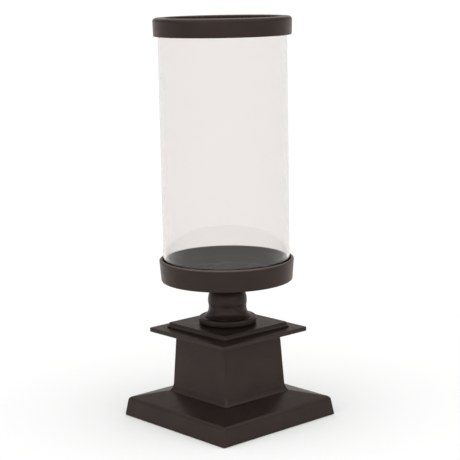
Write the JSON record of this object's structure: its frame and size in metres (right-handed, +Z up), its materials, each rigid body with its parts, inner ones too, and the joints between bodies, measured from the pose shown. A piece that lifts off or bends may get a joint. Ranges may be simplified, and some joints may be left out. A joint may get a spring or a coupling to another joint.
{
  "type": "hurricane candle lantern",
  "caption": "Candle lantern: open glass cylinder standing in a shallow round dish, with a loose metal collar, on a turned stem and a square stepped pedestal and plinth.",
  "frame": {"origin": "centre of the plane that the rubber pads rest on", "axes": "+Z up along the tie rod, +X and +Y along the plinth's sides"},
  "size_m": [0.18, 0.18, 0.4767],
  "materials": {
    "cast_metal": "cast aluminium with a satin dark bronze paint",
    "clear_glass": "clear, polished, with fire-polished rims",
    "zinc_steel": "zinc-plated steel",
    "pad_rubber": "matt black rubber"
  },
  "bodies": {
    "stand": {"candle_dish": "cast_metal", "stem": "cast_metal", "foot_ring": "cast_metal", "step_plate": "cast_metal", "flange_plate": "cast_metal", "pedestal": "cast_metal", "plinth": "cast_metal", "tie_rod": "zinc_steel", "clamp_bar": "zinc_steel", "flat_washer": "zinc_steel", "spring_washer": "zinc_steel", "hex_nut": "zinc_steel", "foot_pad_front_left": "pad_rubber", "foot_pad_front_right": "pad_rubber", "foot_pad_back_left": "pad_rubber", "foot_pad_back_right": "pad_rubber"},
    "glass": {"glass_chimney": "clear_glass"},
    "collar": {"top_collar": "cast_metal"}
  },
  "joints": [
    {"name": "glass_lift", "type": "slide", "parent": "stand", "child": "glass", "axis": [0, 0, 1], "range_m": [0, 0.12]},
    {"name": "collar_lift", "type": "slide", "parent": "glass", "child": "collar", "axis": [0, 0, 1], "range_m": [0, 0.06]}
  ]
}
